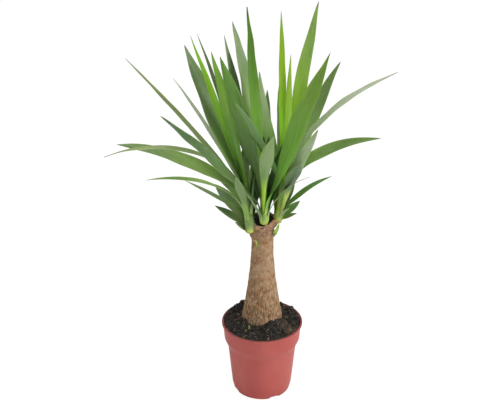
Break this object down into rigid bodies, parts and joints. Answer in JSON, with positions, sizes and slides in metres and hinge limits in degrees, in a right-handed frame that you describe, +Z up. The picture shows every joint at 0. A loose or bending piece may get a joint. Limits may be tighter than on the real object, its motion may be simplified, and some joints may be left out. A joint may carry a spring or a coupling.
{
  "type": "potted yucca",
  "caption": "Cane yucca with leafy shoots on a bare swollen trunk, standing in potting soil in a tapered plastic nursery pot with a plain rim band.",
  "frame": {"origin": "centre of the pot's flat underside", "axes": "+Z up along the pot's axis, -Y towards the front of the plant, +X to its right seen from the front"},
  "size_m": [0.3931, 0.2413, 0.598],
  "materials": {
    "pot_plastic": "satin",
    "potting_mix": "matte",
    "bark": "matte",
    "grafting_wax": "gloss",
    "left_stem": "satin",
    "middle_stem": "satin",
    "right_stem": "satin",
    "bud_green": "satin",
    "sprout_green": "satin",
    "seedling_green": "matte",
    "leaf_dark": "satin",
    "leaf_deep": "satin",
    "leaf_mid": "satin",
    "leaf_grey": "satin",
    "leaf_pale": "satin",
    "leaf_bright": "satin",
    "leaf_vivid": "satin"
  },
  "bodies": {
    "root": {"pot": "pot_plastic", "potting_soil": "potting_mix", "trunk": "bark", "wound_seal": "grafting_wax", "left_shoot": "left_stem", "middle_shoot": "middle_stem", "right_shoot": "right_stem", "trunk_bud": "bud_green", "side_sprout": "sprout_green", "soil_sprout": "seedling_green", "left_leaf_01": "leaf_dark", "left_leaf_02": "leaf_dark", "left_leaf_03": "leaf_grey", "left_leaf_04": "leaf_grey", "left_leaf_05": "leaf_mid", "left_leaf_06": "leaf_dark", "left_leaf_07": "leaf_dark", "left_leaf_08": "leaf_mid", "left_leaf_09": "leaf_mid", "left_leaf_10": "leaf_mid", "left_leaf_11": "leaf_grey", "left_leaf_12": "leaf_grey", "left_leaf_13": "leaf_mid", "left_leaf_14": "leaf_grey", "left_leaf_15": "leaf_bright", "left_leaf_16": "leaf_vivid", "left_leaf_17": "leaf_deep", "middle_leaf_01": "leaf_pale", "middle_leaf_02": "leaf_pale", "middle_leaf_03": "leaf_deep", "middle_leaf_04": "leaf_dark", "middle_leaf_05": "leaf_bright", "middle_leaf_06": "leaf_grey", "middle_leaf_07": "leaf_dark", "middle_leaf_08": "leaf_mid", "middle_leaf_09": "leaf_dark", "middle_leaf_10": "leaf_grey", "middle_leaf_11": "leaf_deep", "middle_leaf_12": "leaf_bright", "right_leaf_01": "leaf_mid", "right_leaf_02": "leaf_deep", "right_leaf_03": "leaf_grey", "right_leaf_04": "leaf_mid", "right_leaf_05": "leaf_dark", "right_leaf_06": "leaf_dark", "right_leaf_07": "leaf_mid", "right_leaf_08": "leaf_dark", "right_leaf_09": "leaf_pale", "right_leaf_10": "leaf_deep", "right_leaf_11": "leaf_pale", "right_leaf_12": "leaf_deep", "right_leaf_13": "leaf_dark", "right_leaf_14": "leaf_grey", "right_leaf_15": "leaf_bright", "right_leaf_16": "leaf_vivid", "right_leaf_17": "leaf_bright"}
  },
  "joints": []
}
